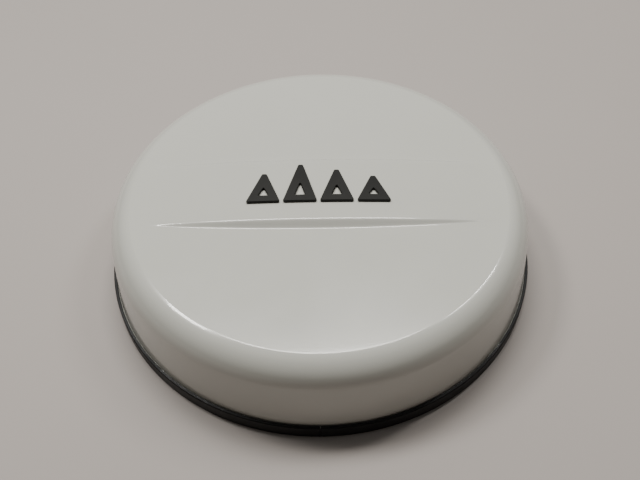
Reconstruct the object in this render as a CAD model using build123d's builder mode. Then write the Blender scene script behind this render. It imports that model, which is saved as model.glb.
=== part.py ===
"""Hard-shell spare tyre cover, face up, resting on the back of its rear ring.

A glossy moulded shell with a raised band across its face is gripped round its rim by a black channel-section
ring.  The ring is two half rings that swing open on a hinge at the top, so that a tyre can go in, and a hook
cam lock in the back of the ring holds them shut at the bottom.

Frame: +Z out of the face, +Y to the top of the cover as it hangs on a vehicle, origin on the cover's axis in
the plane of the ring's back.  Millimetres.
"""
import os
from math import atan2, cos, degrees, radians, sin, tan

from build123d import *

# ---------------------------------------------------------------- driving dimensions
RIM_RADIUS = 382.0          # outside of the shell's wall where it enters the ring
FACE_EDGE_HEIGHT = 160.0    # where the flat face meets the shoulder, above the ring's back
SHOULDER_RADIUS = 48.0
WALL_DRAFT = 9.0            # how much narrower the wall is at the shoulder
SHELL_THICKNESS = 3.2
CROWN_RISE = 3.0            # the face stands this much higher at its middle than at its edge
SHOULDER_END = 80.0         # degrees of shoulder arc before the soft crease round the face

BAND_RISE = 9.6             # raised band above the middle of the face
BAND_HALF_LENGTH = 292.0
BAND_HALF_WIDTH = 72.0      # straight top edges of the band
FLANK_SLOPE = 38.0          # degrees below the horizontal

RING_HEIGHT = 26.0
RING_OUTER = 388.0
RING_INNER = 327.0
RING_WALL = 3.0
SEAM_GAP = 0.4              # each half ring ends this far from the middle plane

HINGE_PIN_X = 17.0
HINGE_PIN_Y = 397.0
PIN_RADIUS = 3.0
RUNNING_CLEARANCE = 0.05

LOCK_X, LOCK_Y = 18.0, -361.0
POST_X = -6.5               # keeper post, level with the lock across the seam
COVER_PIVOT_X = 36.0        # pivot of the small cover over the key slot

TREAD_PAD = (365.0, 42.0, 384.0, 96.0)         # low radius, low height, high radius, high height
SIDEWALL_PAD = (222.0, 138.0, 288.0, 168.0)

EMBLEM_WIDTH = 60.0         # one peak of the emblem
EMBLEM_PITCH = 64.5
EMBLEM_BASE_Y = -33.0
EMBLEM_HEIGHTS = (68.0, 90.0, 76.0, 60.0)
EMBLEM_THICKNESS = 4.0
GASKET_THICKNESS = 1.0

# ---------------------------------------------------------------- sizes worked out from them
FLANGE_BOTTOM = 18.8
FLANGE_TOP = 22.4
FLANGE_RADIUS = RIM_RADIUS + 2.4
WALL_TOP_RADIUS = RIM_RADIUS - WALL_DRAFT
SHOULDER_CENTRE_R = WALL_TOP_RADIUS - SHOULDER_RADIUS
CREASE_R = SHOULDER_CENTRE_R + SHOULDER_RADIUS * cos(radians(SHOULDER_END))
SHOULDER_CENTRE_Z = FACE_EDGE_HEIGHT - SHOULDER_RADIUS * sin(radians(SHOULDER_END))
CROWN_Z = FACE_EDGE_HEIGHT + CROWN_RISE
BAND_TOP_Z = CROWN_Z + BAND_RISE
BAND_END_Z = CROWN_Z - CROWN_RISE * (BAND_HALF_LENGTH / CREASE_R) ** 2
BAND_FLOOR_Z = CROWN_Z - 15.0   # the band starts this low, well inside the shell
FLANK_RUN = 24.0            # slant length of a flank, long enough to run into the face

LIP_BOTTOM = 23.0
LIP_RADIUS = 382.6
LAND_HEIGHT = 2.2           # the ring's back is dished this deep between its two lands
DISH_INNER, DISH_OUTER = 331.0, 380.0
WEB_TOP = 4.8
LEDGE_RADIUS = 376.5
LEDGE_TOP = 12.8
BEAD_TOP = 15.4
SEAL_BOTTOM = 15.8

HINGE_ANGLE = degrees(atan2(HINGE_PIN_X, HINGE_PIN_Y))   # from the middle plane to a hinge pin
HALF_SWEEP = 180 - HINGE_ANGLE
EYE_RADIUS = 7.0
EYE_BOTTOM, EYE_TOP = 5.6, 26.0
BUSH_RADIUS = 4.2
LOWER_EAR = (2.4, 4.9)
UPPER_EAR = (26.8, 29.3)
ANCHOR_TOP = 61.0
ANCHOR_FACE = 384.4         # the anchor's screw plate stands this far from the axis
ANCHOR_BACK = 387.8
SCREW_ANGLES = (87.3, 92.7)
SCREW_HEIGHT = 47.0

LOCK_POCKET = 5.0           # depth of the lock's recess in the back
BOSS_TOP = 6.6
LOCK_NUT_TOP = 9.0
LOCK_BORE = 7.05
CAM_BOTTOM, CAM_TOP = 9.8, 12.3
HOOK_REACH = LOCK_X - POST_X
POST_RADIUS = 4.0
SLOT_PLAY = 1.0             # each side of the post in the slot of the cam
COVER_BOTTOM, COVER_TOP = 0.9, 2.0
RIVET_RADIUS = 1.5
SQUARE = 8.0                # drive square on the inner end of the lock barrel

INSIDE_AT_SCREWS = RIM_RADIUS - SHELL_THICKNESS - WALL_DRAFT * (SCREW_HEIGHT - FLANGE_BOTTOM) / (
    SHOULDER_CENTRE_Z - FLANGE_BOTTOM)

made = []


def finish(part, label):
    """Labels a piece and writes it as one STEP file."""
    part.label = label
    export_step(part, f"parts/{label}.step")
    made.append((label, len(part.solids()), round(part.volume)))


def radial_plane(radius, angle, height):
    """A plane whose normal points away from the cover's axis."""
    out = Vector(cos(radians(angle)), sin(radians(angle)), 0)
    return Plane(origin=out * radius + Vector(0, 0, height), x_dir=(0, 0, 1), z_dir=out)


def section_plane(angle):
    """An upright plane through the cover's axis: x is the distance from the axis, y is the height."""
    out = Vector(cos(radians(angle)), sin(radians(angle)), 0)
    return Plane(origin=(0, 0, 0), x_dir=out, z_dir=(out.Y, -out.X, 0))


def form(inset, floor_z, mode=Mode.ADD, start=0, sweep=360, window=None):
    """The filled shell form, less an inset all over; floor_z is where its wall ends.

    A window (low radius, low height, high radius, high height) keeps only that part of the section.
    """
    crown = (0, CROWN_Z - inset)
    rho = SHOULDER_RADIUS - inset
    crease = (
        SHOULDER_CENTRE_R + rho * cos(radians(SHOULDER_END)),
        SHOULDER_CENTRE_Z + rho * sin(radians(SHOULDER_END)),
    )
    middle = (crease[0] / 2, crown[1] - (crown[1] - crease[1]) / 4)
    with BuildSketch(section_plane(start)) as half_section:
        with BuildLine():
            ThreePointArc(crown, middle, crease)
            CenterArc((SHOULDER_CENTRE_R, SHOULDER_CENTRE_Z), rho, 0, SHOULDER_END)
            Polyline(
                (WALL_TOP_RADIUS - inset, SHOULDER_CENTRE_Z), (RIM_RADIUS - inset, floor_z), (0, floor_z), crown
            )
        make_face()
        if window:
            low_r, low_z, high_r, high_z = window
            with Locations(((low_r + high_r) / 2, (low_z + high_z) / 2)):
                Rectangle(high_r - low_r, high_z - low_z, mode=Mode.INTERSECT)
    revolve(half_section.sketch, axis=Axis.Z, revolution_arc=sweep, mode=mode)


def band(lift, half_width, mode):
    """The raised band, lifted above or sunk below the moulded surface: an arched top and two flanks."""
    end_z = BAND_END_Z + lift
    with BuildSketch(Plane.XZ) as end_view:
        with BuildLine():
            ThreePointArc((-BAND_HALF_LENGTH, end_z), (0, BAND_TOP_Z + lift), (BAND_HALF_LENGTH, end_z))
            Polyline(
                (BAND_HALF_LENGTH, end_z), (BAND_HALF_LENGTH, BAND_FLOOR_Z),
                (-BAND_HALF_LENGTH, BAND_FLOOR_Z), (-BAND_HALF_LENGTH, end_z),
            )
        make_face()
    extrude(end_view.sketch, amount=half_width, both=True, mode=mode)
    for side in (-1, 1):
        down_the_flank = (0, side * cos(radians(FLANK_SLOPE)), -sin(radians(FLANK_SLOPE)))
        edge_of_band = Location((0, side * half_width, 0)) * end_view.sketch
        extrude(edge_of_band, amount=FLANK_RUN, dir=down_the_flank, mode=mode)


def arc_strip(r_in, r_out, z_low, z_high, start, sweep):
    """A strip of rectangular section bent round the cover's axis."""
    with BuildSketch(section_plane(start)) as section:
        with Locations(((r_in + r_out) / 2, (z_low + z_high) / 2)):
            Rectangle(r_out - r_in, z_high - z_low)
    revolve(section.sketch, axis=Axis.Z, revolution_arc=sweep)


def sector(x, y, r_in, r_out, start, sweep, low, high):
    """An upright block shaped as part of a flat ring round (x, y)."""
    with BuildSketch(Plane.XY.offset(low)) as part_ring:
        with Locations((x, y)):
            Circle(r_out)
            Circle(r_in, mode=Mode.SUBTRACT)
        with BuildLine():
            far = 3 * r_out
            stops = (start, start + sweep / 2, start + sweep)
            first, half_way, last = ((x + far * cos(radians(a)), y + far * sin(radians(a))) for a in stops)
            Polyline((x, y), first, half_way, last, close=True)
        make_face(mode=Mode.INTERSECT)
    extrude(part_ring.sketch, amount=high - low)


def disc(x, y, radius, low, high, mode=Mode.ADD):
    """An upright cylinder given by its middle, radius and two heights."""
    with BuildSketch(Plane.XY.offset(low)) as footprint:
        with Locations((x, y)):
            Circle(radius)
    extrude(footprint.sketch, amount=high - low, mode=mode)


os.makedirs("parts", exist_ok=True)

# ================================================================ shell
emblem_x = [EMBLEM_PITCH * (i - 1.5) for i in range(len(EMBLEM_HEIGHTS))]
pin_spots = [(x + side * 20, EMBLEM_BASE_Y + 9) for x in emblem_x for side in (-1, 1)]
EMBLEM_PIN_RADIUS = 1.9

with BuildPart() as face_shell:
    form(0, FLANGE_BOTTOM)
    band(0, BAND_HALF_WIDTH, Mode.ADD)
    with BuildSketch(Plane.XY.offset(FLANGE_BOTTOM)):
        Circle(FLANGE_RADIUS)
    extrude(amount=FLANGE_TOP - FLANGE_BOTTOM)
    form(SHELL_THICKNESS, FLANGE_BOTTOM - 1, Mode.SUBTRACT)
    band(
        -SHELL_THICKNESS,
        BAND_HALF_WIDTH - SHELL_THICKNESS * tan(radians(FLANK_SLOPE / 2)),
        Mode.SUBTRACT,
    )
    with BuildSketch(Plane.XY.offset(CROWN_Z)):
        with Locations(*pin_spots):
            Circle(EMBLEM_PIN_RADIUS + 0.1)
    extrude(amount=BAND_RISE + 5, mode=Mode.SUBTRACT)
    for angle in SCREW_ANGLES:
        with BuildSketch(radial_plane(RIM_RADIUS - 10, angle, SCREW_HEIGHT)):
            Circle(2.7)
        extrude(amount=20, mode=Mode.SUBTRACT)
finish(face_shell.part, "face_shell")


# ================================================================ emblem
def crest_slab(low, high):
    """Trims whatever has been built so far to what lies between two lifts above the band's arched top."""
    with BuildSketch(Plane.XZ) as slab:
        with BuildLine():
            left, right = -BAND_HALF_LENGTH, BAND_HALF_LENGTH
            ThreePointArc((left, BAND_END_Z + high), (0, BAND_TOP_Z + high), (right, BAND_END_Z + high))
            Line((right, BAND_END_Z + high), (right, BAND_END_Z + low))
            ThreePointArc((right, BAND_END_Z + low), (0, BAND_TOP_Z + low), (left, BAND_END_Z + low))
            Line((left, BAND_END_Z + low), (left, BAND_END_Z + high))
        make_face()
    extrude(slab.sketch, amount=BAND_HALF_WIDTH, both=True, mode=Mode.INTERSECT)


def peak(x, height, shrink):
    """A tall blank of one mountain peak with a triangular window, its corners rounded."""
    half = EMBLEM_WIDTH / 2 - shrink
    base = EMBLEM_BASE_Y + shrink
    top = EMBLEM_BASE_Y + height - 2 * shrink
    window_half, window_foot, window_top = 9 + shrink, base + 15, base + 0.5 * height
    with BuildSketch(Plane.XY.offset(CROWN_Z)) as outline:
        with BuildLine():
            Polyline((x - half, base), (x + half, base), (x + 4, top), (x - 4, top), close=True)
        make_face()
        fillet(vertices(), 2.5)
        with BuildSketch(mode=Mode.SUBTRACT):
            with BuildLine():
                Polyline((x - window_half, window_foot), (x + window_half, window_foot), (x, window_top), close=True)
            make_face()
            fillet(vertices(), 1.2)
    extrude(outline.sketch, amount=25)


for number, (x, height) in enumerate(zip(emblem_x, EMBLEM_HEIGHTS), start=1):
    with BuildPart() as emblem_peak:
        peak(x, height, 0)
        crest_slab(GASKET_THICKNESS, GASKET_THICKNESS + EMBLEM_THICKNESS)
        chamfer(faces().sort_by(Axis.Z)[-1].edges(), 0.9)
        with BuildSketch(Plane.XY.offset(CROWN_Z)):
            with Locations((x - 20, EMBLEM_BASE_Y + 9), (x + 20, EMBLEM_BASE_Y + 9)):
                Circle(EMBLEM_PIN_RADIUS)
        extrude(amount=BAND_RISE + GASKET_THICKNESS + 1)
    finish(emblem_peak.part, f"emblem_peak_{number}")

with BuildPart() as emblem_gaskets:
    for x, height in zip(emblem_x, EMBLEM_HEIGHTS):
        peak(x, height, 1.2)
    crest_slab(0, GASKET_THICKNESS)
    with BuildSketch(Plane.XY.offset(CROWN_Z)):
        with Locations(*pin_spots):
            Circle(EMBLEM_PIN_RADIUS)
    extrude(amount=BAND_RISE + 5, mode=Mode.SUBTRACT)
finish(emblem_gaskets.part, "emblem_gaskets")

with BuildPart() as emblem_push_nuts:
    for x, y in pin_spots:
        under = BAND_TOP_Z - (BAND_TOP_Z - BAND_END_Z) * (x / BAND_HALF_LENGTH) ** 2 - SHELL_THICKNESS
        with BuildSketch(Plane.XY.offset(under - 1.5)):
            with Locations((x, y)):
                Circle(6)
                Circle(EMBLEM_PIN_RADIUS, mode=Mode.SUBTRACT)
        extrude(amount=1.2)
finish(emblem_push_nuts.part, "emblem_push_nuts")

# ================================================================ inside of the shell
with BuildPart() as rim_seal:
    with BuildSketch(Plane.XZ):
        with BuildLine():
            Polyline(
                (379.2, FLANGE_BOTTOM), (384.2, FLANGE_BOTTOM), (384.2, FLANGE_BOTTOM - 1.4),
                (382.8, SEAL_BOTTOM), (380.8, SEAL_BOTTOM), (379.2, FLANGE_BOTTOM - 1.4), close=True,
            )
        make_face()
    revolve(axis=Axis.Z)
finish(rim_seal.part, "rim_seal")

with BuildPart() as tread_pads:
    for angle in range(15, 375, 30):
        form(SHELL_THICKNESS, FLANGE_BOTTOM - 1, start=angle - 9, sweep=18, window=TREAD_PAD)
    for groove in (0.25, 0.5, 0.75):
        groove_z = TREAD_PAD[1] + groove * (TREAD_PAD[3] - TREAD_PAD[1])
        with BuildSketch(Plane.XZ):
            with Locations((TREAD_PAD[0], groove_z)):
                Circle(2.4)
        revolve(axis=Axis.Z, mode=Mode.SUBTRACT)
finish(tread_pads.part, "tread_pads")

with BuildPart() as sidewall_pads:
    for angle in (45, 90, 135, 225, 270, 315):
        form(SHELL_THICKNESS, FLANGE_BOTTOM - 1, start=angle - 11, sweep=22, window=SIDEWALL_PAD)
        for side in (-1, 1):
            with BuildSketch(Plane.XY.offset(SIDEWALL_PAD[1])):
                middle = (SIDEWALL_PAD[0] + SIDEWALL_PAD[2]) / 2
                with Locations(Location((0, 0, 0), (0, 0, angle + 5 * side)) * Location((middle, 0, 0))):
                    SlotOverall(46, 8)
            extrude(amount=12, mode=Mode.SUBTRACT)
finish(sidewall_pads.part, "sidewall_pads")

# ================================================================ hinge
with BuildPart() as hinge_anchor:
    with BuildSketch(Plane.XZ.offset(-ANCHOR_BACK)):
        with Locations((0, (UPPER_EAR[0] + ANCHOR_TOP) / 2)):
            RectangleRounded(56, ANCHOR_TOP - UPPER_EAR[0], 8)
    extrude(amount=12)
    with BuildSketch(Plane.XY):
        Circle(ANCHOR_FACE)
    extrude(amount=80, mode=Mode.INTERSECT)
    with BuildSketch(Plane.XZ.offset(-ANCHOR_BACK)):
        with Locations((0, (LOWER_EAR[0] + UPPER_EAR[1]) / 2)):
            Rectangle(28, UPPER_EAR[1] - LOWER_EAR[0])
    extrude(amount=12)
    for low, high in (LOWER_EAR, UPPER_EAR):
        with BuildSketch(Plane.XY.offset(low)):
            with Locations((0, HINGE_PIN_Y)):
                SlotCenterToCenter(2 * HINGE_PIN_X, 2 * EYE_RADIUS)
            with Locations((0, (ANCHOR_BACK + HINGE_PIN_Y) / 2 - 1)):
                Rectangle(28, HINGE_PIN_Y - ANCHOR_BACK + 2)
        extrude(amount=high - low)
    disc(0, 0, FLANGE_RADIUS + 0.2, 0, FLANGE_TOP + 0.2, Mode.SUBTRACT)
    form(0, FLANGE_BOTTOM, Mode.SUBTRACT)
    for x in (-HINGE_PIN_X, HINGE_PIN_X):
        disc(x, HINGE_PIN_Y, PIN_RADIUS, 0, 30, Mode.SUBTRACT)
    for angle in SCREW_ANGLES:
        with BuildSketch(radial_plane(RIM_RADIUS - 10, angle, SCREW_HEIGHT)):
            Circle(2.7)
        extrude(amount=20, mode=Mode.SUBTRACT)
finish(hinge_anchor.part, "hinge_anchor")

with BuildPart() as hinge_pins:
    for x in (-HINGE_PIN_X, HINGE_PIN_X):
        disc(x, HINGE_PIN_Y, PIN_RADIUS, LOWER_EAR[0] - 1.0, UPPER_EAR[1] + 1.4)
        disc(x, HINGE_PIN_Y, 5.0, LOWER_EAR[0] - 1.6, LOWER_EAR[0])
        disc(x, HINGE_PIN_Y, 4.6, UPPER_EAR[1], UPPER_EAR[1] + 1.4)
    chamfer(edges().group_by(Axis.Z)[-1], 0.6)
finish(hinge_pins.part, "hinge_pins")

with BuildPart() as anchor_screws:
    for angle in SCREW_ANGLES:
        with BuildSketch(radial_plane(INSIDE_AT_SCREWS - 8, angle, SCREW_HEIGHT)):
            Circle(2.5)
        extrude(amount=ANCHOR_FACE + 10 - INSIDE_AT_SCREWS)
        with BuildSketch(radial_plane(ANCHOR_FACE, angle, SCREW_HEIGHT)):
            Circle(5)
        extrude(amount=2.8, taper=16)
        with BuildSketch(radial_plane(ANCHOR_FACE + 1.6, angle, SCREW_HEIGHT)):
            RegularPolygon(1.8, 6)
        extrude(amount=4, mode=Mode.SUBTRACT)
finish(anchor_screws.part, "anchor_screws")

with BuildPart() as anchor_nuts:
    for angle in SCREW_ANGLES:
        with BuildSketch(radial_plane(INSIDE_AT_SCREWS - 2, angle, SCREW_HEIGHT)):
            Circle(7)
        extrude(amount=4)
    form(SHELL_THICKNESS, FLANGE_BOTTOM - 1, Mode.INTERSECT)
    for angle in SCREW_ANGLES:
        with BuildSketch(radial_plane(INSIDE_AT_SCREWS - 6.4, angle, SCREW_HEIGHT)):
            RegularPolygon(4.6, 6)
        extrude(amount=4.6)
        with BuildSketch(radial_plane(INSIDE_AT_SCREWS - 12, angle, SCREW_HEIGHT)):
            Circle(2.5)
        extrude(amount=20, mode=Mode.SUBTRACT)
finish(anchor_nuts.part, "anchor_nuts")


# ================================================================ half rings
def half_ring(side):
    """One half of the channel ring; side is +1 for the right half and -1 for the left."""
    start = -90 if side > 0 else 90 + HINGE_ANGLE
    inside = RING_OUTER - RING_WALL
    with BuildSketch(section_plane(start)) as channel:
        with BuildLine():
            Polyline(
                (RING_INNER, 0), (DISH_INNER, 0), (DISH_INNER + 1, LAND_HEIGHT), (DISH_OUTER - 1, LAND_HEIGHT),
                (DISH_OUTER, 0), (RING_OUTER - 1, 0), (RING_OUTER, 1), (RING_OUTER, RING_HEIGHT - 1.2),
                (RING_OUTER - 1.2, RING_HEIGHT), (LIP_RADIUS + 0.6, RING_HEIGHT), (LIP_RADIUS, RING_HEIGHT - 0.6),
                (LIP_RADIUS, LIP_BOTTOM), (inside, LIP_BOTTOM), (inside, LEDGE_TOP), (LEDGE_RADIUS, LEDGE_TOP),
                (LEDGE_RADIUS, WEB_TOP), (RING_INNER + 3, WEB_TOP), (RING_INNER + 3, WEB_TOP + 3),
                (RING_INNER, WEB_TOP + 3), close=True,
            )
        make_face()
    revolve(channel.sketch, axis=Axis.Z, revolution_arc=HALF_SWEEP)
    for step in range(14):
        rib_plane = radial_plane(RING_INNER + 1, 90 - side * (14 + 11.5 * step), WEB_TOP + 0.6)
        with BuildSketch(rib_plane) as rib:
            Rectangle(3, 2)
        extrude(rib.sketch, amount=LEDGE_RADIUS - RING_INNER)
    hinge_x = side * HINGE_PIN_X
    with BuildSketch(Plane.XY.offset(EYE_BOTTOM)) as eye:
        with BuildLine():
            Polyline(
                (hinge_x, HINGE_PIN_Y - 14), (hinge_x, HINGE_PIN_Y), (side * 24, HINGE_PIN_Y),
                (side * 36, HINGE_PIN_Y - 14), close=True,
            )
        make_face()
        with Locations((hinge_x, HINGE_PIN_Y)):
            Circle(EYE_RADIUS)
    extrude(eye.sketch, amount=EYE_TOP - EYE_BOTTOM)
    with BuildSketch() as seat:
        Circle(inside)
        Circle(LEDGE_RADIUS, mode=Mode.SUBTRACT)
    extrude(Plane.XY.offset(LEDGE_TOP) * seat.sketch, amount=LIP_BOTTOM - LEDGE_TOP, mode=Mode.SUBTRACT)
    with BuildSketch() as mouth:
        Circle(LIP_RADIUS)
        Circle(LEDGE_RADIUS, mode=Mode.SUBTRACT)
    extrude(Plane.XY.offset(LEDGE_TOP) * mouth.sketch, amount=RING_HEIGHT, mode=Mode.SUBTRACT)
    disc(hinge_x, HINGE_PIN_Y, BUSH_RADIUS, 0, 30, Mode.SUBTRACT)
    with BuildSketch() as slots:
        with Locations((0, -RING_OUTER + 30)):
            Rectangle(2 * SEAM_GAP, 90)
        for drain in (14, 34):
            with PolarLocations(360, 1, start_angle=-90 + side * drain):
                SlotOverall(22, 7)
    extrude(slots.sketch, amount=30, mode=Mode.SUBTRACT)


def bead(side):
    """The rubber bead that stands on the ledge of a half ring under the shell's seal."""
    start = -89.8 if side > 0 else 92.8
    arc_strip(LEDGE_RADIUS + 0.5, RING_OUTER - RING_WALL, LEDGE_TOP, BEAD_TOP - 0.8, start, 177)
    arc_strip(LEDGE_RADIUS + 2, RING_OUTER - RING_WALL - 1.5, BEAD_TOP - 0.8, BEAD_TOP, start, 177)


def bushes(side):
    """The flanged hinge bush of a half ring."""
    x = side * HINGE_PIN_X
    disc(x, HINGE_PIN_Y, BUSH_RADIUS, LOWER_EAR[1] + 0.1, UPPER_EAR[0] - 0.1)
    disc(x, HINGE_PIN_Y, 6.4, LOWER_EAR[1] + 0.1, EYE_BOTTOM)
    disc(x, HINGE_PIN_Y, 6.4, EYE_TOP, UPPER_EAR[0] - 0.1)
    disc(x, HINGE_PIN_Y, PIN_RADIUS + RUNNING_CLEARANCE, 0, 30, Mode.SUBTRACT)


keeper_screw_spots = [(POST_X, LOCK_Y - 9.8), (POST_X, LOCK_Y + 9.8)]

with BuildPart() as ring_left:
    half_ring(-1)
    disc(POST_X, LOCK_Y, 2.0, 0, WEB_TOP + 4, Mode.SUBTRACT)
    for x, y in keeper_screw_spots:
        disc(x, y, 1.6, 0, WEB_TOP + 4, Mode.SUBTRACT)
finish(ring_left.part, "ring_left")

with BuildPart() as ring_left_bead:
    bead(-1)
finish(ring_left_bead.part, "ring_left_bead")

with BuildPart() as hinge_bush_left:
    bushes(-1)
finish(hinge_bush_left.part, "hinge_bush_left")

with BuildPart() as keeper_post:
    with BuildSketch(Plane.XY.offset(WEB_TOP)):
        with Locations((POST_X, LOCK_Y)):
            RectangleRounded(12, 28, 3)
    extrude(amount=1.6)
    disc(POST_X, LOCK_Y, 5.4, WEB_TOP + 1.6, WEB_TOP + 3.2)
    disc(POST_X, LOCK_Y, POST_RADIUS, WEB_TOP + 3, CAM_TOP + 0.5)
    disc(POST_X, LOCK_Y, 6.0, CAM_TOP + 0.5, CAM_TOP + 2.2)
    chamfer(edges().group_by(Axis.Z)[-1], 0.6)
    disc(POST_X, LOCK_Y, 2.0, LAND_HEIGHT + 0.4, WEB_TOP)
    for x, y in keeper_screw_spots:
        disc(x, y, 1.6, WEB_TOP - 1, WEB_TOP + 3, Mode.SUBTRACT)
finish(keeper_post.part, "keeper_post")

with BuildPart() as keeper_screws:
    for x, y in keeper_screw_spots:
        disc(x, y, 1.6, LAND_HEIGHT + 0.2, WEB_TOP + 1.6)
        disc(x, y, 3.0, WEB_TOP + 1.6, WEB_TOP + 3.2)
        with BuildSketch(Plane.XY.offset(WEB_TOP + 2.4)):
            with Locations((x, y)):
                Rectangle(3.4, 0.9)
                Rectangle(0.9, 3.4)
        extrude(amount=1, mode=Mode.SUBTRACT)
finish(keeper_screws.part, "keeper_screws")

with BuildPart() as ring_right:
    half_ring(1)
    disc(LOCK_X, LOCK_Y, 14.5, LAND_HEIGHT, BOSS_TOP)
    disc(LOCK_X, LOCK_Y, 12.2, 0, LOCK_POCKET, Mode.SUBTRACT)
    disc(LOCK_X, LOCK_Y, 9.0, 0, BOSS_TOP, Mode.SUBTRACT)
    disc(COVER_PIVOT_X, LOCK_Y, RIVET_RADIUS, 0, BOSS_TOP, Mode.SUBTRACT)
finish(ring_right.part, "ring_right")

with BuildPart() as ring_right_bead:
    bead(1)
finish(ring_right_bead.part, "ring_right_bead")

with BuildPart() as hinge_bush_right:
    bushes(1)
finish(hinge_bush_right.part, "hinge_bush_right")

# ================================================================ lock
with BuildPart() as lock_housing:
    disc(LOCK_X, LOCK_Y, 12.0, LOCK_POCKET - 1.5, LOCK_POCKET)
    disc(LOCK_X, LOCK_Y, 9.0, LOCK_POCKET - 1.5, CAM_BOTTOM - 0.2)
    disc(LOCK_X, LOCK_Y, LOCK_BORE, 0, CAM_BOTTOM, Mode.SUBTRACT)
finish(lock_housing.part, "lock_housing")

with BuildPart() as lock_ring_nut:
    with BuildSketch(Plane.XY.offset(BOSS_TOP)):
        with Locations((LOCK_X, LOCK_Y)):
            RegularPolygon(13.2, 6)
            Circle(9.0, mode=Mode.SUBTRACT)
    extrude(amount=LOCK_NUT_TOP - BOSS_TOP)
    chamfer(edges().group_by(Axis.Z)[-1].filter_by(GeomType.LINE), 0.5)
finish(lock_ring_nut.part, "lock_ring_nut")

with BuildPart() as lock_barrel:
    disc(LOCK_X, LOCK_Y, LOCK_BORE - RUNNING_CLEARANCE, LOCK_POCKET - 2.3, CAM_BOTTOM - 0.1)
    disc(LOCK_X, LOCK_Y, 9.0, LOCK_POCKET - 2.6, LOCK_POCKET - 1.6)
    with BuildSketch(Plane.XY.offset(CAM_BOTTOM - 1)):
        with Locations((LOCK_X, LOCK_Y)):
            Rectangle(SQUARE, SQUARE)
    extrude(amount=CAM_TOP - CAM_BOTTOM + 1)
    disc(LOCK_X, LOCK_Y, 3.0, CAM_TOP, CAM_TOP + 3.2)
    with BuildSketch():
        with Locations((LOCK_X, LOCK_Y)):
            Rectangle(1.8, 8)
            Circle(2.0)
    extrude(amount=LOCK_POCKET + 3, mode=Mode.SUBTRACT)
finish(lock_barrel.part, "lock_barrel")

with BuildPart() as lock_cam:
    inner, outer = HOOK_REACH - POST_RADIUS - SLOT_PLAY, HOOK_REACH + POST_RADIUS + SLOT_PLAY
    tip = outer + 4
    disc(LOCK_X, LOCK_Y, 9.0, CAM_BOTTOM, CAM_TOP)
    sector(LOCK_X, LOCK_Y, 5, inner, 52, 62, CAM_BOTTOM, CAM_TOP)
    sector(LOCK_X, LOCK_Y, 5, tip, 52, 27, CAM_BOTTOM, CAM_TOP)
    sector(LOCK_X, LOCK_Y, outer, tip, 52, 54, CAM_BOTTOM, CAM_TOP)
    with BuildSketch(Plane.XY.offset(CAM_BOTTOM)):
        with Locations((LOCK_X, LOCK_Y)):
            Rectangle(SQUARE, SQUARE)
    extrude(amount=CAM_TOP - CAM_BOTTOM, mode=Mode.SUBTRACT)
finish(lock_cam.part, "lock_cam")

with BuildPart() as lock_cam_nut:
    disc(LOCK_X, LOCK_Y, 7.0, CAM_TOP, CAM_TOP + 0.8)
    with BuildSketch(Plane.XY.offset(CAM_TOP + 0.8)):
        with Locations((LOCK_X, LOCK_Y)):
            RegularPolygon(5.6, 6)
    extrude(amount=2.2)
    chamfer(edges().group_by(Axis.Z)[-1], 0.4)
    disc(LOCK_X, LOCK_Y, 3.0, CAM_TOP, CAM_TOP + 4, Mode.SUBTRACT)
finish(lock_cam_nut.part, "lock_cam_nut")

with BuildPart() as key_cover:
    with BuildSketch(Plane.XY.offset(COVER_BOTTOM)):
        with Locations((LOCK_X, LOCK_Y)):
            Circle(10.5)
        with Locations((COVER_PIVOT_X, LOCK_Y)):
            Circle(5)
        make_hull()
    extrude(amount=COVER_TOP - COVER_BOTTOM)
    chamfer(edges().group_by(Axis.Z)[0], 0.4)
    for ridge in (-3, 0, 3):
        with BuildSketch(Plane.XY.offset(COVER_BOTTOM)):
            with Locations((LOCK_X - 3 + ridge, LOCK_Y)):
                SlotOverall(9, 1, rotation=90)
        extrude(amount=0.4, mode=Mode.SUBTRACT)
    disc(COVER_PIVOT_X, LOCK_Y, RIVET_RADIUS + RUNNING_CLEARANCE, 0, 5, Mode.SUBTRACT)
finish(key_cover.part, "key_cover")

with BuildPart() as cover_rivet:
    disc(COVER_PIVOT_X, LOCK_Y, 3.4, COVER_BOTTOM - 0.8, COVER_BOTTOM - 0.1)
    chamfer(edges().group_by(Axis.Z)[0], 0.3)
    disc(COVER_PIVOT_X, LOCK_Y, RIVET_RADIUS, COVER_BOTTOM - 0.2, WEB_TOP)
    disc(COVER_PIVOT_X, LOCK_Y, 3.0, WEB_TOP, WEB_TOP + 1.2)
finish(cover_rivet.part, "cover_rivet")

print(made)
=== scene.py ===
# %% [markdown]
# A hard cover for a spare wheel, lying face up.  The moving parts, hinges and lock are already made to size as
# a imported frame, so this lesson only gives the cover its looks.  It reshapes the big glossy shell as one smooth
# skin, gives every piece a finish, and sets up a floor, lights and a camera.

# %% Load the frame
from math import asin, cos, pi, radians, sin, sqrt, tan

import bpy
from mathutils import Matrix, Vector


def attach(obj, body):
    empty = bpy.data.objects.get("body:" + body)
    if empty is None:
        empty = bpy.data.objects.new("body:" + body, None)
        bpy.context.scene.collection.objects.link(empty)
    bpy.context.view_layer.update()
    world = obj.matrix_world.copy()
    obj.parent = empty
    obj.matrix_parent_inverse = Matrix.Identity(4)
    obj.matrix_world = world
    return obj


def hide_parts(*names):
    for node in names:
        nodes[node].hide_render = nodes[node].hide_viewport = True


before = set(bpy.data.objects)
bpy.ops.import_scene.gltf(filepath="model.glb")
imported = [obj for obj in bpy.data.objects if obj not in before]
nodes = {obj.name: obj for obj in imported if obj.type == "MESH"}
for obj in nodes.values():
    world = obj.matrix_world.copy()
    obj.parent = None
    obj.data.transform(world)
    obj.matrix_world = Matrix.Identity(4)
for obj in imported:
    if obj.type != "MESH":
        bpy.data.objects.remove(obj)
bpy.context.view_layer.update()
print("pieces in the frame:", len(nodes))

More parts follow.
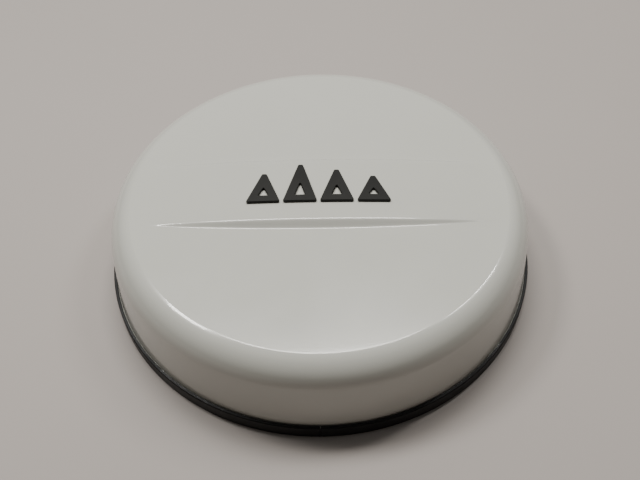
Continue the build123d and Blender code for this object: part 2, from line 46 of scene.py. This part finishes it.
# %% [markdown]
# Sizes.  The shell is a shallow drum: a nearly flat face, a soft crease, a round shoulder and a wall that runs
# down into the black ring.  These few numbers, in metres, describe its half section, and every ring of the skin
# is worked out from them.

# %% The shell's sizes
RIM_R = 0.382            # outside of the wall at its foot
WALL_TOP_R = 0.373
FOOT_Z = 0.0188
FLANGE_Z = 0.0224
FLANGE_R = 0.3844
SHOULDER_R = 0.048
SHOULDER_TOP = radians(80)
CREASE_Z = 0.160
SHOULDER_MID = (WALL_TOP_R - SHOULDER_R, CREASE_Z - SHOULDER_R * sin(SHOULDER_TOP))
CREASE_R = SHOULDER_MID[0] + SHOULDER_R * cos(SHOULDER_TOP)
CROWN = 0.003
CREST_HALF = 0.072       # straight top edges of the raised band
CREST_RISE = 0.0096
CREST_END = 0.292
FLANK = tan(radians(38))
WALL_THICKNESS = 0.0032


def face_height(x, y):
    """The nearly flat face, a little crowned."""
    return CREASE_Z + CROWN * (1 - (x * x + y * y) / CREASE_R ** 2)


def softened(t, reach):
    """Zero for low t and t for high t, with a rounded corner in between."""
    return (t + sqrt(t * t + reach * reach)) / 2


def skin_height(x, y):
    """The face with the raised band: an arched crest, two flanks, and small fillets where they meet."""
    end_height = face_height(CREST_END, 0)
    crest = end_height + (CREASE_Z + CROWN + CREST_RISE - end_height) * (1 - (x / CREST_END) ** 2)
    band = crest - FLANK * softened(abs(y) - CREST_HALF, 0.0022)
    flat = face_height(x, y)
    raised = softened(band - flat, 0.0012)
    fade = min(1.0, max(0.0, (CREASE_R - 0.002 - sqrt(x * x + y * y)) / 0.02))
    return flat + raised * fade


print("crease radius", round(CREASE_R, 4))

# %% [markdown]
# The skin.  A gloss surface shows every wobble in its mesh, so a cut or a boolean along the band would leave
# marks in the reflections.  A grid is used instead, and its rows are laid along the band: straight in the middle
# of the face, close together at the two flanks, and bending round towards the crease at the far ends.

# %% Lay a grid over the face
straight_rows = [0.008 * i for i in range(8)]
near_crest = (-0.010, -0.0065, -0.004, -0.0025, -0.0015, -0.0007, 0, 0.0007, 0.0015, 0.0025, 0.004)
straight_rows += [CREST_HALF + step for step in near_crest]
straight_rows += [CREST_HALF + 0.004 + 0.0015 * i for i in range(1, 13)]
straight_rows += [CREST_HALF + step for step in (0.0245, 0.028, 0.033)]
BENT_ROWS = 22
COLUMNS = 128
EDGE_R = CREASE_R - 0.0012
half_count = len(straight_rows) - 1 + BENT_ROWS


def grid_to_face(u, row):
    """Where a grid vertex goes: u runs along its row from -1 to 1, row counts out from the middle row."""
    side = -1 if row < 0 else 1
    row = abs(row)
    if row < len(straight_rows):
        y = straight_rows[row]
        x = u * sqrt(EDGE_R ** 2 - y * y)
    else:
        bend = (row - len(straight_rows) + 1) / BENT_ROWS
        first = asin(straight_rows[-1] / EDGE_R)
        end_angle = first + (pi / 4 - first) * bend
        end_x, end_y = EDGE_R * cos(end_angle), EDGE_R * sin(end_angle)
        spread = pi / 2 - end_angle
        x = end_x * ((1 - bend) * u + bend * sin(u * spread) / sin(spread))
        y = end_y + bend * (sqrt(EDGE_R ** 2 - x * x) - end_y)
    return x, side * y


def clear_selection():
    """Nothing selected, and object mode."""
    if bpy.context.object and bpy.context.object.mode != "OBJECT":
        bpy.ops.object.mode_set(mode="OBJECT")
    bpy.ops.object.select_all(action="DESELECT")


clear_selection()
bpy.ops.mesh.primitive_grid_add(x_subdivisions=COLUMNS, y_subdivisions=2 * half_count, size=2)
skin = bpy.context.object
skin.name = skin.data.name = "shell_skin"
for vertex in skin.data.vertices:
    x, y = grid_to_face(vertex.co.x, round(vertex.co.y * half_count))
    vertex.co = (x, y, skin_height(x, y))
print("face of the skin:", len(skin.data.polygons), "quads")

# %% [markdown]
# The shoulder and wall.  The open edge of the grid is extruded ring by ring.  Each new ring is scaled out and
# moved down to the next point of the half section, with close rings at the crease so that it stays crisp.

# %% Extrude the shoulder and wall
profile = [(CREASE_R, CREASE_Z)]
for step in (1.2, 3, 6, 10, 15, 20, 26, 32, 38, 44, 50, 56, 62, 68, 74, 80):
    angle = SHOULDER_TOP - radians(step)
    profile.append((SHOULDER_MID[0] + SHOULDER_R * cos(angle), SHOULDER_MID[1] + SHOULDER_R * sin(angle)))
foot_slope = (RIM_R - WALL_TOP_R) / (SHOULDER_MID[1] - FOOT_Z)
profile += [(RIM_R - foot_slope * (z - FOOT_Z), z) for z in (0.096, 0.076, 0.056, 0.038, FLANGE_Z, FOOT_Z)]

bpy.ops.object.mode_set(mode="EDIT")
bpy.ops.mesh.select_mode(type="VERT")
bpy.ops.mesh.select_all(action="DESELECT")
bpy.ops.mesh.select_non_manifold()
radius, height = EDGE_R, face_height(EDGE_R, 0)
for next_radius, next_height in profile:
    bpy.ops.mesh.extrude_region_move()
    grow = next_radius / radius
    bpy.ops.transform.resize(value=(grow, grow, 1), center_override=(0, 0, height))
    bpy.ops.transform.translate(value=(0, 0, next_height - height))
    radius, height = next_radius, next_height
bpy.ops.mesh.select_all(action="SELECT")
bpy.ops.mesh.normals_make_consistent(inside=False)
bpy.ops.object.mode_set(mode="OBJECT")

# %% Give it its wall thickness and rim flange
thickness = skin.modifiers.new("thickness", "SOLIDIFY")
thickness.thickness = WALL_THICKNESS
thickness.offset = -1
bpy.ops.object.modifier_apply(modifier=thickness.name)


def select_faces(obj, wanted):
    """Selects the faces that pass a test, ready for edit mode."""
    bpy.ops.object.mode_set(mode="EDIT")
    bpy.ops.mesh.select_mode(type="FACE")
    bpy.ops.mesh.select_all(action="DESELECT")
    bpy.ops.object.mode_set(mode="OBJECT")
    for face in obj.data.polygons:
        face.select = bool(wanted(face))
    bpy.ops.object.mode_set(mode="EDIT")


select_faces(skin, lambda face: FOOT_Z < face.center.z < FLANGE_Z and face.center.xy.length > 0.3805
             and face.normal.z > -0.5)
bpy.ops.mesh.extrude_region_move()
grow = FLANGE_R / RIM_R
bpy.ops.transform.resize(value=(grow, grow, 1), center_override=(0, 0, 0))
bpy.ops.object.mode_set(mode="OBJECT")
bpy.ops.object.shade_smooth_by_angle(angle=radians(32))
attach(skin, "shell")
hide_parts("face_shell")
print("whole skin:", len(skin.data.polygons), "faces")

# %% [markdown]
# Foam pads.  Blocks of closed-cell foam are glued inside the shell, so that the tyre wedges against them and
# does not rattle.  Such blocks are cut from sheet with a hot wire and pressed a little out of shape, so each
# one gets rolled edges, rounded ends and a slightly bulging free side.  A pad is a sheet of grid wrapped into a
# tube: one way of the grid runs round its section, the other along the curve of the wall.

# %% The inside of the shell
FOAM_EDGE = 0.0032       # rolled edge of a cut block
GLUE_GAP = 0.0004        # keeps the foam just clear of the shell
STATIONS = 40            # rows of grid along one pad


def shell_inside(z):
    """Radius of the inner side of the wall and shoulder, a hair short of touching."""
    if z <= SHOULDER_MID[1]:
        return RIM_R - foot_slope * (z - FOOT_Z) - WALL_THICKNESS - GLUE_GAP
    inner = SHOULDER_R - WALL_THICKNESS - GLUE_GAP
    return SHOULDER_MID[0] + sqrt(max(0.0, inner ** 2 - (z - SHOULDER_MID[1]) ** 2))


print("wall inside at mid height", round(shell_inside(0.069), 4))

# %% Wrap a grid into a pad
def rolled_block(t):
    """A point t (0 to 1) of the way round a square from -1 to 1, as (across, up)."""
    t = t % 1 * 4
    along = 2 * (t % 1) - 1
    return ((-1, along), (along, 1), (1, -along), (-along, -1))[int(t) % 4]


def foam_arc(name, middle_angle, half_sweep, section, around=96):
    """One pad: section(across, up, along) gives (radius, height) and along runs from -1 to 1 over the sweep."""
    clear_selection()
    bpy.ops.mesh.primitive_grid_add(x_subdivisions=around, y_subdivisions=STATIONS, size=2)
    pad = bpy.context.object
    pad.name = pad.data.name = name
    for vertex in pad.data.vertices:
        across, up = rolled_block((vertex.co.x + 1) / 2)
        along = vertex.co.y
        radius, height = section(across, up, along)
        angle = middle_angle + half_sweep * along
        vertex.co = (radius * cos(angle), radius * sin(angle), height)
    bpy.ops.object.mode_set(mode="EDIT")
    bpy.ops.mesh.select_all(action="SELECT")
    bpy.ops.mesh.remove_doubles(threshold=0.00002)
    bpy.ops.mesh.select_all(action="DESELECT")
    bpy.ops.mesh.select_mode(type="EDGE")
    bpy.ops.mesh.select_non_manifold()
    bpy.ops.mesh.fill()
    bpy.ops.mesh.select_all(action="SELECT")
    bpy.ops.mesh.normals_make_consistent(inside=False)
    bpy.ops.object.mode_set(mode="OBJECT")
    return pad


def end_roll(along, half_length):
    """How far the section is drawn in near an end, so that the end is rounded over."""
    left = (1 - abs(along)) * half_length
    if left >= FOAM_EDGE:
        return 0.0
    return FOAM_EDGE - sqrt(max(0.0, FOAM_EDGE ** 2 - (FOAM_EDGE - left) ** 2))


def corner_roll(across, up, half_width, half_height):
    """(across, up) in metres from the middle of the section, with its four corners rounded."""
    x, y = across * half_width, up * half_height
    past_x, past_y = abs(x) - (half_width - FOAM_EDGE), abs(y) - (half_height - FOAM_EDGE)
    if past_x > 0 and past_y > 0:
        shrink = FOAM_EDGE / sqrt(past_x ** 2 + past_y ** 2)
        x = (half_width - FOAM_EDGE + past_x * shrink) * (1 if x > 0 else -1)
        y = (half_height - FOAM_EDGE + past_y * shrink) * (1 if y > 0 else -1)
    return x, y


print("foam edge radius", FOAM_EDGE)

# %% [markdown]
# Tread pads.  These stand against the wall, where the tread of the tyre would rub.  Three channels run along the
# free side, so that the foam gives more easily.  The section is worked out point by point, because a channel
# cut by a boolean would leave hard edges that foam does not have.

# %% Section of a tread pad
TREAD_LOW, TREAD_HIGH = 0.042, 0.096
TREAD_FREE = 0.365       # radius of the free side
TREAD_BULGE = 0.0011
CHANNEL_R = 0.0024


def tread_section(across, up, along):
    """A tall thin pad on the wall, bulging inwards, with three channels along its free side."""
    low, high, free = TREAD_LOW, TREAD_HIGH, TREAD_FREE
    drawn = end_roll(along, 0.058)
    half_height = (high - low) / 2 - drawn
    y = corner_roll(across, up, 0.006, half_height)[1]
    height = (low + high) / 2 + y
    outer = shell_inside(height)
    x = corner_roll(across, up, (outer - free) / 2, half_height)[0]
    radius = (outer + free) / 2 + x * (1 - drawn / 0.008)
    if across < 0:
        bulge = TREAD_BULGE * (1 - up * up) * (1 - along ** 4)
        nearest = min(abs(y / half_height * 0.027 - step) for step in (-0.0135, 0.0, 0.0135))
        channel = sqrt(max(0.0, CHANNEL_R ** 2 - nearest ** 2))
        radius += (channel - bulge) * -across
    return radius, height


print("tread pad height", round(TREAD_HIGH - TREAD_LOW, 3))

# %% [markdown]
# Sidewall pads.  These hang under the face and press on the side of the tyre.  Two short channels in each let
# the block spread when it is squeezed.

# %% Section of a sidewall pad
SIDEWALL_INNER, SIDEWALL_OUTER = 0.222, 0.288
SIDEWALL_LOW = 0.138
SIDEWALL_BULGE = 0.0008
CHANNEL_DEPTH = 0.0075
CHANNEL_ANGLE = radians(5)       # each channel is this far round from the pad's middle
SIDEWALL_HALF_SWEEP = radians(11)


def sidewall_section(across, up, along):
    """A thick block under the face, its lower side bulging, with two short radial channels."""
    low_r, high_r, low = SIDEWALL_INNER, SIDEWALL_OUTER, SIDEWALL_LOW
    drawn = end_roll(along, 0.049)
    x = corner_roll(across, up, (high_r - low_r) / 2 - drawn, 0.0095)[0]
    radius = (low_r + high_r) / 2 + x
    top = face_height(radius, 0) - WALL_THICKNESS - GLUE_GAP
    y = corner_roll(across, up, (high_r - low_r) / 2, (top - low) / 2)[1]
    height = (low + top) / 2 + y * (1 - drawn / 0.012)
    if up < 0:
        sideways = abs(abs(along) * SIDEWALL_HALF_SWEEP - CHANNEL_ANGLE) * radius
        endways = abs(x) - 0.019
        across_channel = max(0.0, min(1.0, (0.005 - sideways) / 0.002))
        along_channel = max(0.0, min(1.0, -endways / 0.003))
        bulge = SIDEWALL_BULGE * (1 - across * across) * (1 - along ** 4)
        height += (CHANNEL_DEPTH * across_channel * along_channel - bulge) * -up
    return radius, height


print("sidewall pad width", round(SIDEWALL_OUTER - SIDEWALL_INNER, 3))

# %% Set the pads round the shell
def join_pads(name, pads, stands_for):
    clear_selection()
    for pad in pads:
        pad.select_set(True)
    bpy.context.view_layer.objects.active = pads[0]
    bpy.ops.object.join()
    piece = bpy.context.object
    piece.name = piece.data.name = name
    bpy.ops.object.shade_smooth_by_angle(angle=radians(50))
    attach(piece, "shell")
    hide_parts(stands_for)
    print(name, len(piece.data.polygons), "faces")
    return piece


tread_foam = join_pads("tread_foam", [
    foam_arc(f"tread_pad_{turn}", radians(turn), radians(9), tread_section) for turn in range(15, 375, 30)
], "tread_pads")
sidewall_foam = join_pads("sidewall_foam", [
    foam_arc(f"sidewall_pad_{turn}", radians(turn), SIDEWALL_HALF_SWEEP, sidewall_section)
    for turn in (45, 90, 135, 225, 270, 315)
], "sidewall_pads")

# %% [markdown]
# Finishes.  Two effects turn up in many of them, so each is a node group built once: a fine grain that tilts the
# surface, and a light film of dust and handling marks that varies the roughness.

# %% Shared effects
def new_group(name, inputs, outputs):
    """An empty shader node group with float inputs (name, default) and outputs (name, socket type)."""
    group = bpy.data.node_groups.new(name, "ShaderNodeTree")
    for label, value in inputs:
        socket = group.interface.new_socket(label, in_out="INPUT", socket_type="NodeSocketFloat")
        socket.default_value = value
    for label, kind in outputs:
        group.interface.new_socket(label, in_out="OUTPUT", socket_type=kind)
    return group, group.nodes.new("NodeGroupInput"), group.nodes.new("NodeGroupOutput")


def add_node(tree, kind, values=(), **links):
    """Adds a node, sets plain values by socket name and links sockets by name."""
    node = tree.nodes.new(kind)
    for label, value in dict(values).items():
        if label in node.inputs:
            node.inputs[label].default_value = value
        else:
            setattr(node, label, value)
    for label, source in links.items():
        tree.links.new(source, node.inputs[label.replace("_", " ")])
    return node


grain_group, gin, gout = new_group(
    "surface_grain", [("Scale", 400.0), ("Height", 0.1), ("Distance", 0.0005)], [("Normal", "NodeSocketVector")]
)
where = add_node(grain_group, "ShaderNodeTexCoord")
pebble = add_node(grain_group, "ShaderNodeTexNoise", {"Detail": 3.0, "Roughness": 0.6})
grain_group.links.new(where.outputs["Object"], pebble.inputs["Vector"])
grain_group.links.new(gin.outputs["Scale"], pebble.inputs["Scale"])
tilt = add_node(grain_group, "ShaderNodeBump")
grain_group.links.new(pebble.outputs["Fac"], tilt.inputs["Height"])
grain_group.links.new(gin.outputs["Height"], tilt.inputs["Strength"])
grain_group.links.new(gin.outputs["Distance"], tilt.inputs["Distance"])
grain_group.links.new(tilt.outputs["Normal"], gout.inputs["Normal"])

film_group, fin, fout = new_group(
    "handling_film", [("Clean", 0.1), ("Handled", 0.25), ("Scale", 9.0)],
    [("Roughness", "NodeSocketFloat"), ("Mask", "NodeSocketFloat")],
)
where = add_node(film_group, "ShaderNodeTexCoord")
cloud = add_node(film_group, "ShaderNodeTexNoise", {"Detail": 6.0, "Roughness": 0.62, "Distortion": 0.4})
film_group.links.new(where.outputs["Object"], cloud.inputs["Vector"])
film_group.links.new(fin.outputs["Scale"], cloud.inputs["Scale"])
patch = add_node(film_group, "ShaderNodeMapRange", {"From Min": 0.42, "From Max": 0.72})
film_group.links.new(cloud.outputs["Fac"], patch.inputs["Value"])
film_group.links.new(fin.outputs["Clean"], patch.inputs["To Min"])
film_group.links.new(fin.outputs["Handled"], patch.inputs["To Max"])
film_group.links.new(patch.outputs["Result"], fout.inputs["Roughness"])
film_group.links.new(cloud.outputs["Fac"], fout.inputs["Mask"])
print("shared effects:", grain_group.name, film_group.name)


# %% [markdown]
# One helper starts each finish: a Principled shader whose colour drifts slightly between two tones, whose
# roughness comes from the film and whose surface tilts with the grain.  What differs from one material to the
# next is given as plain values, and anything special is added after.

# %% A finish
def finish(name, tone, other_tone, clean, handled, grain_scale, grain_height, film_scale=9.0, grain_depth=0.0004,
           **shader_values):
    """A material with its colour, roughness and grain connected up."""
    material = bpy.data.materials.new(name)
    material.use_nodes = True
    tree = material.node_tree
    shader = tree.nodes["Principled BSDF"]
    film = tree.nodes.new("ShaderNodeGroup")
    film.node_tree = film_group
    for label, value in (("Clean", clean), ("Handled", handled), ("Scale", film_scale)):
        film.inputs[label].default_value = value
    grain = tree.nodes.new("ShaderNodeGroup")
    grain.node_tree = grain_group
    for label, value in (("Scale", grain_scale), ("Height", grain_height), ("Distance", grain_depth)):
        grain.inputs[label].default_value = value
    drift = tree.nodes.new("ShaderNodeMix")
    drift.data_type = "RGBA"
    drift.inputs["A"].default_value = (*tone, 1)
    drift.inputs["B"].default_value = (*other_tone, 1)
    tree.links.new(film.outputs["Mask"], drift.inputs["Factor"])
    tree.links.new(drift.outputs["Result"], shader.inputs["Base Color"])
    tree.links.new(film.outputs["Roughness"], shader.inputs["Roughness"])
    tree.links.new(grain.outputs["Normal"], shader.inputs["Normal"])
    for label, value in shader_values.items():
        shader.inputs[label.replace("_", " ")].default_value = value
    return material


print("finish helper ready")

# %% [markdown]
# The shell is moulded in a pale grey-white plastic and polished to a deep gloss.  A low roughness and a thin
# clear coat give the sharp mirror images, and the grain is almost nothing.

# %% White shell
gloss_white = finish("gloss_white_moulding", (0.560, 0.560, 0.510), (0.590, 0.588, 0.540), 0.16, 0.24, 700, 0.03,
                     film_scale=5, grain_depth=0.0002, Coat_Weight=0.6, Coat_Roughness=0.05, IOR=1.5)
print("made", gloss_white.name)

# %% [markdown]
# The ring is unpainted black plastic with a fine moulded grain, which scatters the light.  The emblem pieces are
# smoother.  Both have a low specular level, so they stay properly black under a pale sky.

# %% Black plastics
ring_black = finish("black_grained_moulding", (0.0045, 0.0045, 0.005), (0.009, 0.009, 0.0095), 0.42, 0.6, 900, 0.3,
                    Specular_IOR_Level=0.3)
emblem_black = finish("satin_black_emblem", (0.005, 0.005, 0.0038), (0.008, 0.008, 0.0065), 0.4, 0.52, 1200, 0.06,
                      Specular_IOR_Level=0.25)
print("made", ring_black.name, emblem_black.name)

# %% [markdown]
# Rubber and foam hardly shine.  The foam has the strongest grain of all, for its open cut cells.

# %% Rubber and foam
rubber = finish("black_rubber", (0.014, 0.014, 0.014), (0.03, 0.03, 0.029), 0.6, 0.82, 1500, 0.3)
foam = finish("charcoal_foam", (0.03, 0.03, 0.033), (0.055, 0.055, 0.06), 0.88, 0.97, 1100, 0.9,
              film_scale=30, grain_depth=0.001)
print("made", rubber.name, foam.name)

# %% [markdown]
# Fasteners, pins, the post and the cam are zinc-plated steel.  The hinge bracket is powder-coated, the lock is
# nickel-plated and the hinge bushes are natural nylon, which lets a little light in.

# %% Metals and nylon
zinc_steel = finish("zinc_plated_steel", (0.55, 0.55, 0.53), (0.66, 0.65, 0.61), 0.22, 0.42, 1400, 0.12,
                    film_scale=60, Metallic=1.0)
powder_black = finish("black_powder_coat", (0.014, 0.014, 0.015), (0.022, 0.022, 0.023), 0.36, 0.5, 1600, 0.4)
nickel = finish("nickel_plate", (0.6, 0.58, 0.54), (0.68, 0.66, 0.62), 0.12, 0.3, 1500, 0.06, film_scale=80,
                Metallic=1.0)
nylon = finish("natural_nylon", (0.62, 0.6, 0.52), (0.68, 0.66, 0.58), 0.4, 0.55, 1200, 0.1,
               Subsurface_Weight=0.1)
print("made", zinc_steel.name, powder_black.name, nickel.name, nylon.name)

# %% [markdown]
# Now every piece gets its finish.  A table from finish to pieces keeps this in one place.

# %% Dress the pieces
FINISHES = {
    gloss_white: ["face_shell"],
    emblem_black: ["emblem_peak_1", "emblem_peak_2", "emblem_peak_3", "emblem_peak_4"],
    rubber: ["rim_seal", "emblem_gaskets", "ring_left_bead", "ring_right_bead"],
    powder_black: ["hinge_anchor"],
    zinc_steel: ["emblem_push_nuts", "hinge_pins", "anchor_screws", "anchor_nuts", "keeper_post",
                 "keeper_screws", "lock_ring_nut", "lock_cam", "lock_cam_nut", "cover_rivet"],
    ring_black: ["ring_left", "ring_right", "key_cover"],
    nickel: ["lock_housing", "lock_barrel"],
    nylon: ["hinge_bush_left", "hinge_bush_right"],
}


def dress(obj, material):
    """Gives a piece one material."""
    obj.data.materials.clear()
    obj.data.materials.append(material)


for material, names in FINISHES.items():
    for name in names:
        dress(nodes[name], material)
dress(skin, gloss_white)
dress(tread_foam, foam)
dress(sidewall_foam, foam)
print("dressed", sum(len(names) for names in FINISHES.values()) + 3, "pieces")

# %% [markdown]
# The stage.  The floor is one plain pale sheet, wide enough to fill the picture.  It lies just under the ring,
# which stands on z = 0.

# %% Floor
clear_selection()
bpy.ops.mesh.primitive_plane_add(size=14, location=(0, 0, -0.0005))
floor = bpy.context.object
floor.name = "floor"
paper = finish("pale_floor", (0.42, 0.38, 0.355), (0.45, 0.41, 0.385), 0.7, 0.8, 60, 0.05, film_scale=2)
dress(floor, paper)

# %% [markdown]
# Lights.  A gloss surface mirrors its lights, so each soft box is placed by where its mirror image falls.  Two
# small ones stand behind, left and right, and draw the bright crescents just outside the crease.  A larger one
# lights the face from above and a little behind.  Its mirror image falls in the bend of the crease, where it
# hardly shows.

# %% Lights
def soft_box(name, spot, aim, width, height, power, colour=(1, 0.98, 0.94)):
    """A rectangular soft light at a spot, turned towards an aim."""
    data = bpy.data.lights.new(name, "AREA")
    data.shape = "RECTANGLE"
    data.size, data.size_y = width, height
    data.energy = power
    data.color = colour
    lamp = bpy.data.objects.new(name, data)
    bpy.context.scene.collection.objects.link(lamp)
    lamp.location = spot
    lamp.rotation_euler = (Vector(aim) - Vector(spot)).to_track_quat("-Z", "Y").to_euler()
    return lamp


soft_box("crescent_left", (-1.49, 0.67, 2.93), (-0.20, -0.27, 0.16), 0.60, 0.60, 42)
soft_box("crescent_right", (1.57, 1.01, 2.81), (0.26, -0.21, 0.16), 0.14, 0.85, 22)
soft_box("overhead", (-0.15, 1.4, 4.15), (0, 0, 0.1), 2.2, 1.1, 124)

# %% [markdown]
# The room.  A gloss wall shows what is in front of it and a gloss face what is behind.  The sky is a soft slope
# of light: pale above and behind the cover, dimmer and warmer in front, so the wall reads darker than the face.

# %% Room light
world = bpy.data.worlds.new("pale_room")
bpy.context.scene.world = world
world.use_nodes = True
room = world.node_tree
outward = room.nodes.new("ShaderNodeTexCoord")
slope = room.nodes.new("ShaderNodeVectorMath")
slope.operation = "DOT_PRODUCT"
slope.inputs[1].default_value = (-0.07, 0.62, 0.78)
room.links.new(outward.outputs["Generated"], slope.inputs[0])
lift = room.nodes.new("ShaderNodeMapRange")
lift.interpolation_type = "SMOOTHSTEP"
lift.inputs["From Min"].default_value = 0.25
lift.inputs["From Max"].default_value = 0.98
room.links.new(slope.outputs["Value"], lift.inputs["Value"])
sky = room.nodes.new("ShaderNodeValToRGB")
sky.color_ramp.elements[0].color = (0.022, 0.012, 0.009, 1)
sky.color_ramp.elements[1].color = (0.90, 0.91, 0.88, 1)
room.links.new(lift.outputs["Result"], sky.inputs["Fac"])
room.links.new(sky.outputs["Color"], room.nodes["Background"].inputs["Color"])
room.nodes["Background"].inputs["Strength"].default_value = 0.55

# %% [markdown]
# The camera looks down at the cover from the front, about midway between level and straight down, through a
# long lens, and is tipped a little to one side as a hand-held one is.

# %% Camera
ELEVATION = radians(47.53)
DISTANCE = 1.4359
LOOK_Z = 0.026 + 0.067
DROP = radians(1.54611)    # the picture's middle is this far below the point looked at
camera_data = bpy.data.cameras.new("camera")
camera_data.sensor_width = 36
camera_data.lens = 43.93
camera = bpy.data.objects.new("camera", camera_data)
bpy.context.scene.collection.objects.link(camera)
AZIMUTH = radians(1.2)
reach = DISTANCE * cos(ELEVATION)
camera.location = (reach * sin(AZIMUTH), -reach * cos(AZIMUTH), LOOK_Z + DISTANCE * sin(ELEVATION))
camera.rotation_euler = (
    Matrix.Rotation(AZIMUTH, 3, "Z") @ Matrix.Rotation(pi / 2 - ELEVATION - DROP, 3, "X")
    @ Matrix.Rotation(radians(-1.69), 3, "Z")
).to_euler()
bpy.context.scene.camera = camera
